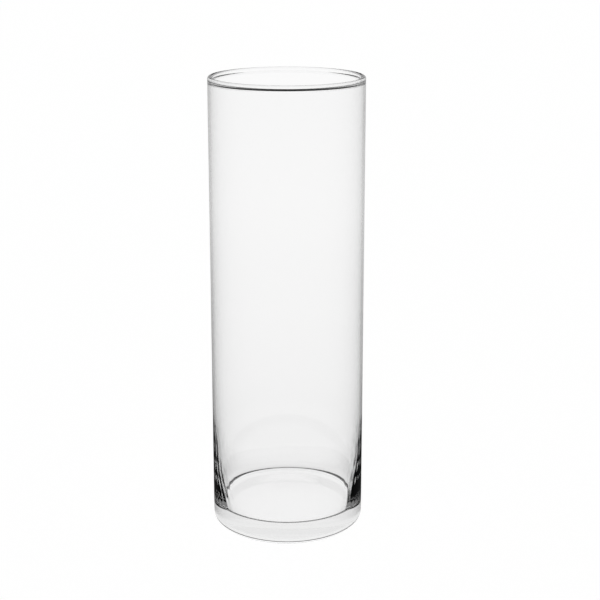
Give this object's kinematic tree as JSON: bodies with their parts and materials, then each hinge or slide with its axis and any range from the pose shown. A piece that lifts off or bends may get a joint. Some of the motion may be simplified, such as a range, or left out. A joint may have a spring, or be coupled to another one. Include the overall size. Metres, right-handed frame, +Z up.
{
  "type": "cylinder vase",
  "caption": "Tall straight cylinder vase in clear glass with a round fire-polished rim, a wall that thickens towards the foot, and a heavy floor.",
  "frame": {"origin": "centre of the circle that the vase stands on, at table level", "axes": "+Z up along the vase's axis, +X and +Y level; the glass is round about +Z"},
  "size_m": [0.1, 0.1, 0.3],
  "materials": {
    "clear_glass": "clear, fire-polished"
  },
  "bodies": {
    "root": {"rim_bead": "clear_glass", "wall": "clear_glass", "lower_wall": "clear_glass", "base": "clear_glass"}
  },
  "joints": []
}
